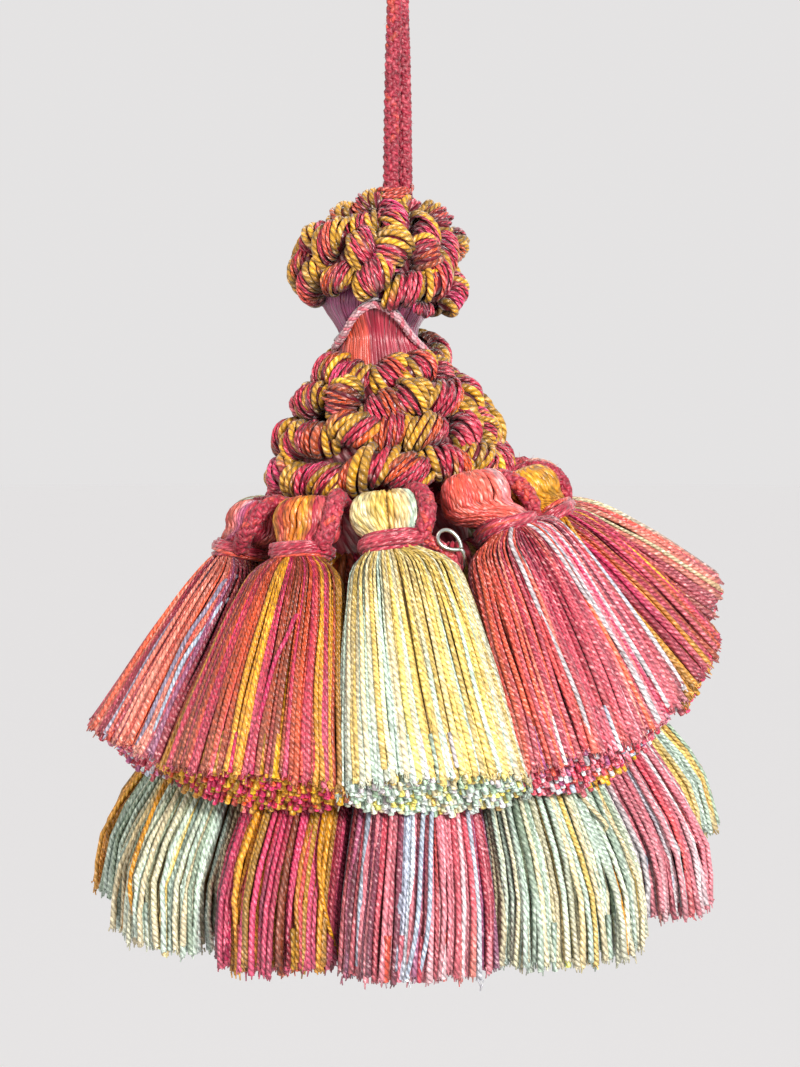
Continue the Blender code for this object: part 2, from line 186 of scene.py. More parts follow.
# A tier: its seed, its sections, which two of them stand just above and below the waist, how far they
# tilt with the centre line, and its places.  outer strands of steps points each lie closely where the
# outward share is over shown, and start at start along the bundle, or at its waist.  Then: the strands
# in the layer under them, columns and rows of cut ends, the strands' greatest radius, how far inner ones
# outreach outer ones, a cut end's radius, the strands in a head and the wraps in a binding.
Tier = namedtuple("Tier", "name seed sections waist tilt places outer steps shown start layer stubs radius "
                          "cut dot head wraps")
TIERS = (
    Tier("upper", 500, UPPER_SECTIONS, (5, 6), 1.0, UPPER_PLACES, outer=96, steps=17, shown=-0.3, start=0.0,
         layer=46, stubs=(32, 15), radius=0.40, cut=0.018, dot=0.36, head=58, wraps=13),
    Tier("lower", 5500, LOWER_SECTIONS, (4, 5), 0.3, LOWER_PLACES, outer=156, steps=13, shown=0.1,
         start=0.42, layer=50, stubs=(14, 22), radius=0.35, cut=0.0, dot=0.42, head=14, wraps=3))

# Stops on a hanger: radius, height, turn from its tassel's head, and how far it has turned with its
# tassel from the head's azimuth to the waist's.
HANGER_DIAMETER = 2.5
HANGER = (
    (10.4, 4.4, 6, 0), (13, 4.8, 6.5, 0), (16.6, 5.8, 8, 0), (19.8, 6.9, 10.5, 0),
    (22.2, 6.2, 12.2, 0.1), (23.5, 4.6, 12.4, 0.3), (23.9, 2.8, 11.2, 0.65), (23.5, 1.2, 9.6, 1))

# The wire eye's radius, azimuth and height, and those of the stops on the end of one binding, which
# shows behind the eye on its way down between two skirts.
EYE_PLACE = (25.2, 16.5, 0)
TAILED_TASSEL = "upper_tassel_03"
BINDING_TAIL = ((22.8, 7.5, 0.6), (23.4, 11.5, 0.2), (23.7, 15.5, -1.2), (23.7, 19, -3.7),
                (22.8, 21.5, -8))

# Rows of knuckles: how many, where they sit, half their length, their girth, how far the first is
# turned round the ring and each is rolled from lying level, and how steeply they face up.
Row = namedtuple("Row", "count radius height half girth shift roll up", defaults=(0.2,))
RUFFS = {
    "top_ruff_upper_row": (Row(5, 3.9, 44, 2.2, 2.1, 10, 70, 0.9), Row(9, 7, 41.6, 2.4, 2.2, 5, 75)),
    "top_ruff_lower_row": (Row(12, 10, 38.4, 2.4, 2.3, 14, 60), Row(13, 10.6, 34.4, 2.5, 2.2, 0, 25)),
    "skirt_ruff_upper_row": (Row(11, 8.4, 22.4, 2.5, 2.2, 5, 40), Row(14, 11.6, 18.4, 2.7, 2.4, 20, 30)),
    "skirt_ruff_lower_row": (Row(16, 13.9, 13.6, 2.8, 2.4, 0, 30), Row(18, 15.5, 9.2, 2.8, 2.4, 10, 18))}
KNUCKLE_DYES = ("ldccmdl", "dlwuclw", "dlcrclcd", "dauccdl", "ldcmcdl", "dlccuwld", "crmcldc", "ldlducc",
                "ldcrcdl", "wuldcld", "dlkcdlc", "dldlcmd", "dluwcld", "dmclcldc")
THICK_DYES = "adlw"

# The dyes, as they look: red, green and blue out of 255.
DYES = {
    "a": (230, 156, 18), "b": (186, 200, 220), "c": (180, 32, 62), "d": (178, 130, 34),
    "e": (230, 214, 166), "g": (150, 176, 148), "h": (212, 202, 206), "k": (228, 80, 60),
    "l": (206, 148, 26), "m": (212, 44, 98), "n": (222, 112, 128), "o": (236, 92, 50),
    "p": (120, 32, 62), "q": (164, 74, 122), "r": (202, 70, 88), "s": (238, 132, 110),
    "t": (190, 214, 196), "u": (192, 68, 20), "v": (154, 144, 170), "w": (156, 66, 32),
    "y": (238, 202, 100)}

# What each dye runs into along a strand of space-dyed yarn.
NEIGHBOURS = {
    "a": "ad", "b": "vh", "c": "kpm", "d": "aw", "e": "yt", "g": "te", "h": "bn", "k": "soc", "l": "dw",
    "m": "crc", "n": "rh", "o": "k", "p": "cm", "q": "pr", "r": "kcs", "s": "ko", "t": "ge", "u": "wk",
    "v": "bp", "w": "uc", "y": "eye"}

DARKEST, BRIGHTEST = 0.004, 0.95

OPEN = (False, False)
CLOSED = (True, True)
CAP_RISE = 0.35  # a cap's height against its tube's radius
SHEET_STEP = 0.5  # a sheet's quad, measured on the ply
FULL_TURN = 2 * np.pi
NEAR_TURN = 6.28  # a full turn, near enough for a random phase
RING = np.linspace(0, FULL_TURN, 30)


def linear(colour):
    """A dye's colour as light: the shader's own linear red, green and blue."""
    share = np.array(colour) / 255.0
    return np.where(share <= 0.04045, share / 12.92, ((share + 0.055) / 1.055) ** 2.4)


LINEAR = {name: linear(colour) for name, colour in DYES.items()}


def dyed(names):
    return np.array([LINEAR[name] for name in names])


def reader(table):
    """A function that reads a table of pairs, straight from one to the next."""
    places, values = zip(*table)
    return lambda place: np.interp(place, places, values)


lean_at, tilt_at, mould_radius, tie_height = map(reader, (LEAN, TILT, MOULD, TIE_HEIGHT))


def ramp(values, start, width):
    """0 up to the start, then straight up to 1 over the width."""
    return np.clip((values - start) / width, 0, 1)


def polar(radius, azimuth, height):
    """Points round the leaning axis, in millimetres."""
    turn = np.radians(azimuth)
    across = lean_at(height) + radius * np.sin(turn)
    up = height + tilt_at(height) * across + WAIST_PLANE
    return np.stack(np.broadcast_arrays(across, -radius * np.cos(turn), up), axis=-1)


def glide(rows, count):
    """count rows on a smooth curve through the given rows, evenly spaced by number of row."""
    rows = np.asarray(rows, float)
    padded = np.vstack((2 * rows[0] - rows[1], rows, 2 * rows[-1] - rows[-2]))
    where = np.linspace(0, len(rows) - 1, count)
    number = np.minimum(where.astype(int), len(rows) - 2)
    t = (where - number)[:, None]
    before, start, end, after = (padded[number + step] for step in range(4))
    return 0.5 * (2 * start + (end - before) * t + (2 * before - 5 * start + 4 * end - after) * t ** 2
                  + (3 * start - before - 3 * end + after) * t ** 3)


def interpolate(places, knots, rows):
    """Rows at places among their knots, straight from one to the next."""
    return np.stack([np.interp(places, knots, column) for column in rows.T], axis=-1)


def steps_along(line):
    return np.linalg.norm(np.diff(line, axis=0), axis=1)


def even(line, count):
    """count points evenly spaced by length on a line of points."""
    reach = np.append(0.0, np.cumsum(steps_along(line)))
    return interpolate(np.linspace(0, reach[-1], count), reach, line)


def unit(vectors):
    return vectors / np.maximum(np.linalg.norm(vectors, axis=-1, keepdims=True), 1e-9)


def frames_along(lines):
    """Two directions across each line at each point, carried along without twisting."""
    tangents = unit(np.gradient(lines, axis=1))
    guide = np.where(np.abs(tangents[:, :1, 2:]) > 0.9, [[[1.0, 0.0, 0.0]]], [[[0.0, 0.0, 1.0]]])
    side = unit(np.cross(tangents[:, 0], guide[:, 0]))
    sides = [side]
    for tangent in np.moveaxis(tangents[:, 1:], 1, 0):
        side = unit(side - np.sum(side * tangent, axis=1, keepdims=True) * tangent)
        sides.append(side)
    sides = np.stack(sides, axis=1)
    return sides, np.cross(tangents, sides)


def frame_along(line):
    return [part[0] for part in frames_along(line[None])]


def turned(first, second, angle):
    """Directions at angles from the first towards the second."""
    return first * np.cos(angle)[..., None] + second * np.sin(angle)[..., None]


def with_settings(thing, **settings):
    for setting, value in settings.items():
        setattr(thing, setting, value)
    return thing


def placed(name, data, **settings):
    """A new object, with its settings, in the scene."""
    thing = with_settings(bpy.data.objects.new(name, data), **settings)
    bpy.context.collection.objects.link(thing)
    return thing


class Skein:
    """Gathers tubes and sheets of yarn into one mesh, with their dyes and their places on the ply."""

    def __init__(self):
        self.parts = []
        self.count = 0

    def gather(self, points, dyes, faces, plies):
        """Points with a dye each, and faces of them with a place on the ply for each corner."""
        corners = faces.shape[-1]
        self.parts.append((points.reshape(-1, 3), dyes.reshape(-1, 3), faces.reshape(-1),
                           np.full(faces.size // corners, corners), plies.reshape(-1, 2)))
        self.count += points.size // 3

    def weave(self, points, dyes, around, width, along):
        """Tubes x rings x points round them, closed by quads.  around is where each quad starts on the
        ply, width how wide it is there, and along where each ring is.  Their points' numbers."""
        numbers = self.count + np.arange(points.size // 3).reshape(points.shape[:3])
        after = np.roll(numbers, -1, axis=2)
        quads = np.stack((numbers[:, :-1], after[:, :-1], after[:, 1:], numbers[:, 1:]), axis=-1)
        left, low, high = np.broadcast_arrays(around, along[:, :-1, None], along[:, 1:, None])
        right = left + width
        plies = np.stack((left, low, right, low, right, high, left, high), axis=-1)
        self.gather(points, np.broadcast_to(dyes, points.shape), quads, plies)
        return numbers

    def add(self, lines, radii, dyes, rng, sides=6, pitch=2.0, caps=(False, True)):
        """Tubes along lines of strands x points x 3, with radii and dyes for the strands' points."""
        strands, steps = lines.shape[:2]
        radii = np.broadcast_to(radii, (strands, steps))
        dyes = np.broadcast_to(dyes, (strands, steps, 3))
        first, second = frames_along(lines)
        around = np.arange(sides) / sides
        ring = turned(first[:, :, None], second[:, :, None], FULL_TURN * np.arange(sides) / sides)
        run = np.cumsum(np.linalg.norm(np.diff(lines, axis=1, prepend=lines[:, :1]), axis=2), axis=1)
        run = run * 2 / pitch + rng.uniform(0, 8, (strands, 1))
        points = lines[:, :, None] + ring * radii[:, :, None, None]
        numbers = self.weave(points, dyes[:, :, None], around, 1 / sides, run)
        for end, inner, wanted in zip((0, -1), (1, -2), caps):
            if wanted:
                out = unit(lines[:, end] - lines[:, inner])
                tips = lines[:, end] + out * radii[:, end, None] * CAP_RISE
                rim = numbers[:, end]
                after = np.roll(rim, -1, axis=1)
                centre = np.broadcast_to(self.count + np.arange(strands)[:, None], rim.shape)
                faces = np.stack((rim, after, centre) if end else (after, rim, centre), axis=-1)
                ply = np.stack(np.broadcast_arrays(around, run[:, end, None]), axis=-1)
                self.gather(tips, dyes[:, end], faces, np.repeat(ply[:, :, None], 3, axis=2))

    def surface(self, grid, dye):
        """A sheet of one dye through rows x columns x 3 points, closed round its columns."""
        rows, columns = (np.arange(size) * SHEET_STEP for size in grid.shape[:2])
        self.weave(grid[None], dye, columns, SHEET_STEP, rows[None])

    def finish(self, name, material, slot, node):
        """One piece of all that was gathered, in a material and in place of a CAD node; slot is not used."""
        points, dyes, loops, totals, plies = map(np.concatenate, zip(*self.parts))
        mesh = bpy.data.meshes.new(name)
        mesh.vertices.add(len(points))
        mesh.vertices.foreach_set("co", (points * MM).astype(np.float32).ravel())
        mesh.loops.add(len(loops))
        mesh.loops.foreach_set("vertex_index", loops.astype(np.int32))
        mesh.polygons.add(len(totals))
        mesh.polygons.foreach_set("loop_start", (np.cumsum(totals) - totals).astype(np.int32))
        mesh.polygons.foreach_set("use_smooth", np.ones(len(totals), bool))
        mesh.update(calc_edges=True)
        mesh.uv_layers.new(name="ply").data.foreach_set("uv", plies.astype(np.float32).ravel())
        colours = mesh.color_attributes.new(name="dye", type="FLOAT_COLOR", domain="POINT")
        opaque = np.column_stack((dyes, np.ones(len(dyes))))
        colours.data.foreach_set("color", opaque.astype(np.float32).ravel())
        mesh.materials.append(material)
        piece = placed(name, mesh)
        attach(piece, BODY)
        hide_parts(node)
        return piece


# ---- Materials ----


class Graph:
    """A material's shader nodes, fed with numbers, colours and other nodes' outputs."""

    def __init__(self, name):
        self.material = bpy.data.materials.new(name)
        self.material.use_nodes = True
        self.tree = self.material.node_tree
        self.shader = self.tree.nodes["Principled BSDF"]

    def feed(self, node, inputs):
        for key, value in inputs.items():
            if isinstance(value, bpy.types.NodeSocket):
                self.tree.links.new(value, node.inputs[key])
            else:
                node.inputs[key].default_value = value

    def add(self, kind, inputs, output=0, **settings):
        """A new node, as its output."""
        node = with_settings(self.tree.nodes.new("ShaderNode" + kind), **settings)
        self.feed(node, inputs)
        return node.outputs[output]

    def maths(self, operation, *values):
        return self.add("Math", dict(enumerate(values)), operation=operation)

    def scaled(self, value, factor, added):
        return self.maths("ADD", self.maths("MULTIPLY", value, factor), added)

    def mix(self, share, first, second):
        return self.add("Mix", {0: share, 6: first, 7: second}, 2, data_type="RGBA")

    def smooth_step(self, value, low, high):
        return self.add("MapRange", {"Value": value, "From Min": low, "From Max": high},
                        interpolation_type="SMOOTHSTEP")

    def speckle(self, scale):
        """Noise through the piece, scale to the metre."""
        place = self.add("TexCoord", {}, "Object")
        return self.add("TexNoise", {"Vector": place, "Scale": scale, "Detail": 2.0}, "Fac")

    def noise(self, across, along, scales, detail):
        """Noise over two outputs, each stretched by its scale."""
        scaled = [self.maths("MULTIPLY", *pair) for pair in zip((across, along), scales)]
        place = self.add("CombineXYZ", dict(enumerate(scaled)))
        return self.add("TexNoise", {"Vector": place, "Scale": 1.0, "Detail": detail}, "Fac")


def yarn_material(name, groove_shade, painted_glint, roughness, sheen, bump, white=0.34):
    """Dyed rayon: two plies twisted together, painted shade in the grooves between them, each crest its own
    random tone, and painted glints on the crests, partly pale.
    """
    graph = Graph(name)
    dye = graph.add("Attribute", {}, attribute_name="dye")
    around, along = graph.add("SeparateXYZ", {0: graph.add("UVMap", {}, uv_map="ply")}).node.outputs[:2]
    phase = graph.scaled(around, 2.0, along)
    wave = graph.maths("ABSOLUTE", graph.maths("SINE", graph.maths("MULTIPLY", phase, math.pi)))
    fibre = graph.noise(phase, graph.maths("SUBTRACT", along, around), (5.0, 0.8), 3.0)
    bead = graph.noise(phase, along, (0.9, 1.3), 1.0)
    # Painted shade: the dye darkened in the grooves between the plies, then varied by the random tone of
    # fibres, beads and patches.
    shade = graph.scaled(graph.smooth_step(wave, -0.1, 0.85), groove_shade, 1.0 - groove_shade)
    for amount, spread, low in ((fibre, 0.7, 0.65), (graph.smooth_step(bead, 0.3, 0.7), 0.52, 0.66),
                                (graph.speckle(420.0), 0.6, 0.67)):
        shade = graph.maths("MULTIPLY", shade, graph.scaled(amount, spread, low))
    shaded = graph.add("VectorMath", {0: dye, "Scale": shade}, operation="SCALE")
    # Painted glints: a pale, warm colour, the dye brightened and partly paled, mixed in on the ply crests
    # where the beads' noise is high.
    glint_dye = graph.add("VectorMath", {0: dye, "Scale": 1.6}, operation="SCALE")
    pale = graph.mix(white, glint_dye, (1.0, 0.93, 0.88, 1.0))
    painted_glint_mask = graph.maths("MULTIPLY", graph.smooth_step(wave, 0.45, 0.95), graph.smooth_step(bead, 0.54, 0.70))
    painted_glint_mask = graph.maths("MULTIPLY", painted_glint_mask, graph.maths("ADD", fibre, 0.3))
    relief = graph.maths("ADD", wave, graph.maths("MULTIPLY", fibre, 0.6))
    graph.feed(graph.shader, {
        "Base Color": graph.mix(graph.maths("MULTIPLY", painted_glint_mask, painted_glint), shaded, pale),
        "Normal": graph.add("Bump", {"Strength": bump, "Distance": 0.0003, "Height": relief}),
        "Roughness": roughness, "Specular IOR Level": 0.6,
        "Sheen Weight": sheen, "Sheen Roughness": 0.45})
    return graph.material


SKIRT_YARN = yarn_material("skirt_yarn", 0.38, 1.0, 0.38, 0.08, 0.6)
GOLD_YARN = yarn_material("gold_rust_yarn", 0.42, 1.0, 0.36, 0.04, 0.6, white=0.12)
HEAD_FLOSS = yarn_material("head_floss", 0.08, 0.30, 0.36, 0.25, 0.25)
GIMP_YARN = yarn_material("gimp_yarn", 0.50, 1.0, 0.30, 0.15, 0.9, white=0.26)
CORD_YARN = yarn_material("cord_yarn", 0.30, 0.35, 0.50, 0.10, 0.5, white=0.2)
BIND_FLOSS = yarn_material("binding_floss", 0.35, 0.60, 0.34, 0.20, 0.5)


def wire_material():
    """Silvery wire, its shade and gloss varied by fine scratches."""
    graph = Graph("silvery_wire")
    scratches = graph.speckle(900.0)
    graph.feed(graph.shader, {
        "Base Color": graph.mix(scratches, (0.34, 0.38, 0.35, 1.0), (0.66, 0.70, 0.66, 1.0)),
        "Roughness": graph.scaled(scratches, 0.2, 0.12), "Metallic": 1.0})
    return graph.material


# ---- Mini tassels ----


def reaches(degrees, spread, half_pitch):
    """How far sections reach to one side: their own degrees, or out to the neighbour as they spread."""
    met = degrees + (half_pitch - degrees) * np.minimum(spread, 1.0)
    return np.minimum(met, np.maximum(half_pitch, degrees * 0.8)) * np.maximum(spread, 1.0)


def swing(out, up, degrees):
    """A step outwards and up, turned outwards by some degrees."""
    turn = math.radians(degrees)
    return (out * math.cos(turn) - up * math.sin(turn), up * math.cos(turn) + out * math.sin(turn))


def squared(angles):
    """A rounded oblong: shares across and outward for angles round it."""
    return [np.sign(share) * np.abs(share) ** SQUARENESS for share in (np.cos(angles), np.sin(angles))]


class Guide:
    """The form of one bundle as smooth tables along its centre line, from its top to its rim."""

    ROWS = 81

    def __init__(self, tier, number):
        self.tier = tier
        self.place = place = tier.places[number]
        before, after = tier.places[number - 1], tier.places[(number + 1) % len(tier.places)]
        radius, height, left, right, spread, depth = np.array(tier.sections).T
        top, foot = tier.waist
        last = len(radius) - 1
        index = np.arange(last + 1)
        lifted = np.where(index < top, place.lift * (height - height[top]) / LIFT_SPAN, 0.0)
        sway = swing(radius[foot] - radius[top], height[foot] - height[top], place.sway)
        out, up = swing((radius - radius[foot]) * place.stretch, (height - height[foot]) * place.stretch,
                        place.kick)
        radius = np.where(index < foot, radius, radius[top] + sway[0] + out)
        height = np.where(index < foot, height + lifted, height[top] + sway[1] + up)
        below = np.maximum(index - foot, 0)
        here, to_left, to_right = (
            np.where(index < top, each.waist + each.past,
                     each.waist + (each.rim - each.waist) * below / (last - foot))
            for each in (place, before, after))
        opened = below / (last - foot)
        left_half = (here - to_left) % 360 / 2 - SIDE_GAP_DEG - before.crowd * opened
        right_half = (to_right - here) % 360 / 2 - SIDE_GAP_DEG + place.crowd * opened
        over, under = np.maximum(index - 1, 0), np.minimum(index + 1, last)
        lean = tier.tilt * np.arctan2(radius[under] - radius[over], height[over] - height[under])
        rows = np.stack((radius, height, reaches(left, spread, left_half),
                         reaches(right, spread, right_half), depth, lean, here), axis=-1)
        self.rows = glide(rows, self.ROWS)
        self.knots = np.linspace(0, 1, self.ROWS)
        self.waist = (top + foot) / 2 / last
        self.middle = (rows[top] + rows[foot]) / 2
        self.waist_lean = math.atan2(radius[foot] - radius[top], height[top] - height[foot])

    def point(self, across, outward, along):
        """Where a strand at (across, outward) in the section lies, at each share along the bundle."""
        inside = np.clip(along, 0, 1)
        radius, height, left, right, depth, lean, azimuth = (
            np.interp(inside, self.knots, column) for column in self.rows.T)
        turn = across * np.where(across > 0, right, left)
        opened = np.interp(inside, (self.waist, self.waist + 0.15, 1.0), (0.0, 0.6, 1.0))
        edge = np.where(across > 0, self.place.right, self.place.left) * np.abs(across) ** 1.4
        beyond = (along - inside) * PAST_RIM
        out = radius + depth * outward * np.cos(lean) + beyond * np.sin(lean)
        up = height + depth * outward * np.sin(lean) + edge * opened - beyond * np.cos(lean)
        return polar(out, azimuth + turn, up)

    def rim_spread(self, count):
        """Angles round the section for count strands, sparse round the rim where nobody looks."""
        angles = np.linspace(0, FULL_TURN, 721)
        across, outward = squared(angles)
        line = self.point(across, outward, np.ones_like(angles))
        unseen = 0.35
        weight = np.where(outward[1:] > self.tier.shown, 1.0, unseen)
        reach = np.append(0.0, np.cumsum(steps_along(line) * weight))
        return np.interp(np.linspace(0, reach[-1], count, endpoint=False), reach, angles)

    def waist_ring(self, swell, rise):
        """A loop round the waist, as far out as swell and as high as rise (arrays or numbers)."""
        radius, height, left, right, depth, _, azimuth = self.middle
        lean = self.waist_lean
        across, outward = squared(RING)
        turn = across * (np.where(across > 0, right, left) + np.degrees(swell / radius))
        out = radius + (depth + swell) * outward * np.cos(lean) + rise * np.sin(-lean)
        up = height + (depth + swell) * outward * np.sin(lean) + rise * np.cos(lean)
        return polar(out, azimuth + turn, up)


def ripple(rng, count, along, strength):
    """A slow random wander of each of count strands, growing towards its end."""
    one_each = (count, 1)
    first, second = rng.uniform(0, FULL_TURN, one_each), rng.uniform(0, FULL_TURN, one_each)
    size, other = rng.normal(0, 1, one_each), rng.normal(0, 1, one_each)
    wave = size * np.sin(first + along * 5.0) + other * np.sin(second + along * 9.0) * 0.5
    third = rng.uniform(0, FULL_TURN, one_each)
    fine = rng.normal(0, 0.55, one_each) * np.sin(third + along * rng.uniform(22, 34, one_each))
    return (wave + fine) * strength * np.clip(along, 0, 1) ** 0.8


def dye_strands(rng, place, across, outward, along, mixed=0.12):
    """Each strand's dye along its length: striped on the outer face, mixed elsewhere."""
    letters = np.array(list(place.front))
    count = len(across)
    one_each = (count, 1)
    stripe = np.clip(((across + 1) / 2 * len(letters)).astype(int), 0, len(letters) - 1)
    stray = rng.random(count) < np.where(outward > 0.0, mixed * 0.5, 0.6)
    names = np.where(stray, rng.choice(letters, count), letters[stripe])
    tips = dict(place.tips.split())
    change = rng.uniform(0.55, 0.9, one_each)
    share = (ramp(along, change, 0.25) * (rng.random(one_each) < 0.7))[..., None]
    root, tip = dyed(names)[:, None], dyed(tips.get(name, name) for name in names)[:, None]
    dyes = root * (1 - share) + tip * share
    beside = dyed(rng.choice(list(NEIGHBOURS[name])) for name in names)[:, None]
    wave = np.sin(rng.uniform(0, NEAR_TURN, one_each) + along * rng.uniform(4, 14, one_each))
    share = (np.clip(wave, 0, 1) ** 1.5 * rng.uniform(0.2, 0.9, one_each))[..., None]
    dyes = dyes * (1 - share) + beside * share
    value = rng.normal(1.0, 0.14, (count, 1, 1))
    drift = np.sin(rng.uniform(0, NEAR_TURN, one_each) + along * rng.uniform(5, 16, one_each))
    return np.clip(dyes * value * (1 + 0.10 * drift)[..., None], DARKEST, BRIGHTEST)


def blended(dyes):
    """Each strand's dye mixed with those of the two before it."""
    return (dyes + np.roll(dyes, 1, axis=0) + np.roll(dyes, 2, axis=0)) / 3


def shading(across, along, begin):
    """How much light reaches a strand: less at the waist and down the sides of its bundle."""
    root = 0.62 + 0.38 * ramp(along, begin, 0.25)
    return root * (1 - 0.35 * np.clip(np.abs(across), 0, 1) ** 5)


def make_core(skein, guide, first, last, shrink, dye):
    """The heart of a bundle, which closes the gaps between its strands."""
    along = np.linspace(first, last, 22)[:, None]
    across, outward = squared(np.linspace(0, FULL_TURN, 24, endpoint=False))
    grid = guide.point(across * shrink, outward * shrink, along)
    skein.surface(grid, dye)
    for row in (0, -1):
        centre = grid[row].mean(axis=0)
        rings = np.stack((grid[row], centre + (grid[row] - centre) * 0.02))
        skein.surface(rings if row else rings[::-1], dye)


def make_skirt(skein, guide, rng, locked):
    """The outer strands of a skirt, drawn together here and there into small locks."""
    tier, place = guide.tier, guide.place
    count = tier.outer
    one_each = (count, 1)
    begin = tier.start if tier.start else guide.waist + 0.015
    across, outward = squared(guide.rim_spread(count) + rng.normal(0, 0.010, count))
    ends = 1 + tier.cut * (1 - outward[:, None]) + rng.normal(0, 0.006, one_each)
    along = begin + (ends - begin) * np.linspace(0, 1, tier.steps) ** 0.94
    lock = np.cumsum(rng.random(count) < 0.36)
    locks = lock.max() + 1
    drawn = rng.uniform(0.0, locked, locks)[lock][:, None]
    centres = np.bincount(lock, across) / np.maximum(np.bincount(lock), 1)
    side = across[:, None] + (centres[lock] - across)[:, None] * drawn * ramp(along, 0.60, 0.40)
    side = side + ripple(rng, locks, along[:1], 0.012)[lock] + ripple(rng, count, along, 0.008)
    out = outward[:, None] * 0.94 + ripple(rng, count, along, 0.035) + rng.normal(0, 0.035, one_each)
    lines = guide.point(side, out, along)
    apart = np.median(np.linalg.norm(np.diff(lines[outward > 0.3], axis=0), axis=2), axis=0)
    radii = np.clip(apart * 0.51, 0.17, tier.radius) * rng.normal(1, 0.08, one_each)
    radii[:, -1] *= 1.15
    dyes = dye_strands(rng, place, across, outward, along)
    dyes = dyes * shading(across[:, None], along, begin)[..., None]
    # Painted light: over their last quarter the strands pale towards white, most in bluish dyes, as a pool
    # of light on the lower skirt.
    painted_tip_light = (0.04 + 0.35 * dyes[..., 2:]) * ramp(along, 0.75, 0.25)[..., None]
    dyes = dyes + (0.9 - dyes) * painted_tip_light
    for share, pitch in enumerate((1.5, 1.8, 2.1)):
        chosen = np.arange(count) % 3 == share
        skein.add(lines[chosen], radii[chosen], dyes[chosen], rng, sides=5, pitch=pitch)
    shown = outward > tier.shown
    fray(skein, lines[shown], dyes[shown], rng)


def fray(skein, lines, dyes, rng):
    """Fine fibres that fan out of each cut end."""
    fibres = 4
    ends = np.repeat(lines[:, -1], fibres, axis=0)
    run = np.repeat(unit(lines[:, -1] - lines[:, -2]), fibres, axis=0)
    start = ends - run * 0.30 + rng.normal(0, 0.20, ends.shape)
    tip = start + (run + rng.normal(0, 0.26, ends.shape)) * rng.uniform(0.40, 0.75, (len(ends), 1))
    # Painted light: the fibres' dyes mostly lightened, by a random amount, so that the thin fibres don't
    # read dark in shade.
    shades = np.repeat(dyes[:, -1], fibres, axis=0)[:, None] * rng.uniform(0.9, 1.4, (len(ends), 1, 1))
    shades = np.clip(shades, 0, BRIGHTEST)
    skein.add(np.stack((start, tip), axis=1), np.array([0.15, 0.09]), shades, rng, sides=3)


def make_layer(skein, guide, rng):
    """A second, looser layer of strands just under the outer one."""
    tier, place = guide.tier, guide.place
    count = tier.layer
    across, outward = squared(guide.rim_spread(count) + rng.normal(0, 0.03, count))
    begin = max(guide.waist + 0.03, tier.start)
    ends = 1 + tier.cut * (1 - outward[:, None]) + rng.normal(-0.01, 0.012, (count, 1))
    along = begin + (np.linspace(begin, 1, 7) - begin) * ends
    inset = 1 - rng.uniform(0.7, 1.3, (count, 1)) / guide.rows[-1, 4]
    lines = guide.point(across[:, None] * (0.5 + inset / 2) + ripple(rng, count, along, 0.015),
                        outward[:, None] * inset + ripple(rng, count, along, 0.03), along)
    radii = tier.radius * 1.05 * (0.45 + 0.55 * ramp(along, guide.waist, 0.2))
    # The layer's dyes darkened to painted shade under the outer strands.
    dyes = dye_strands(rng, place, across, outward, along, 0.4) * 0.6
    skein.add(lines, radii, dyes, rng, sides=4)


def make_stubs(skein, guide, rng):
    """The cut ends that fill the bottom face of the bundle."""
    tier, place = guide.tier, guide.place
    letters = place.cut or COLOURWAYS[place.colourway].cut
    behind = place.behind or letters
    wide, deep = tier.stubs
    column, row = (part.ravel() for part in np.meshgrid(np.arange(wide), np.arange(deep)))
    across = (column + 0.5 * (row % 2)) / (wide - 0.5) * 2 - 1
    outward = (row + 0.5) / deep * 2 - 1
    inside = np.abs(across) ** 2.6 + np.abs(outward) ** 2.6 < 0.9
    count = int(inside.sum())
    across = across[inside] + rng.normal(0, 0.25 / wide, count)
    outward = outward[inside] + rng.normal(0, 0.25 / deep, count)
    ends = np.array([0.94, 1.0])
    along = ends + tier.cut * (1 - outward[:, None]) + rng.normal(0, 0.006, (count, 1)) * (ends == 1.0)
    lines = guide.point(across[:, None], outward[:, None] + ripple(rng, count, along, 0.02), along)
    names = rng.choice(list(letters), count)
    names = np.where((outward < -0.45) & (across > 0), rng.choice(list(behind), count), names)
    # Painted light and shade: each cut end darker at its root among the others and brighter at its tip,
    # times a random tone.
    stub_light = np.array([0.7, 1.4]) * rng.normal(1.0, 0.20, (count, 1))
    dyes = np.clip(dyed(names)[:, None] * stub_light[..., None], DARKEST, BRIGHTEST)
    skein.add(lines, tier.dot * rng.uniform(0.8, 1.2, (count, 1)), dyes, rng, sides=4)


def make_strays(skein, guide, rng):
    """Single strands that wander across the face of the skirt, their ends tucked in among the others."""
    for start, end, letter, begin, finish in guide.place.strays:
        along = np.linspace(begin, finish, 22)[None]
        share = (along - begin) / (finish - begin)
        across = start + (end - start) * share + 0.02 * np.sin(share * 9)
        face = np.clip(1 - np.abs(across) ** (2 / SQUARENESS), 0, 1) ** (SQUARENESS / 2)
        tucked = 1 - ramp(share, 0.0, 0.15) + ramp(share, 0.85, 0.15) * (finish < 0.97)
        outward = face + 0.08 * np.sin(share * math.pi) + 0.02 * np.sin(share * 17) - 0.5 * tucked ** 2
        skein.add(guide.point(across, outward, along), 0.30, LINEAR[letter] * 0.85, rng, sides=5, pitch=1.8)


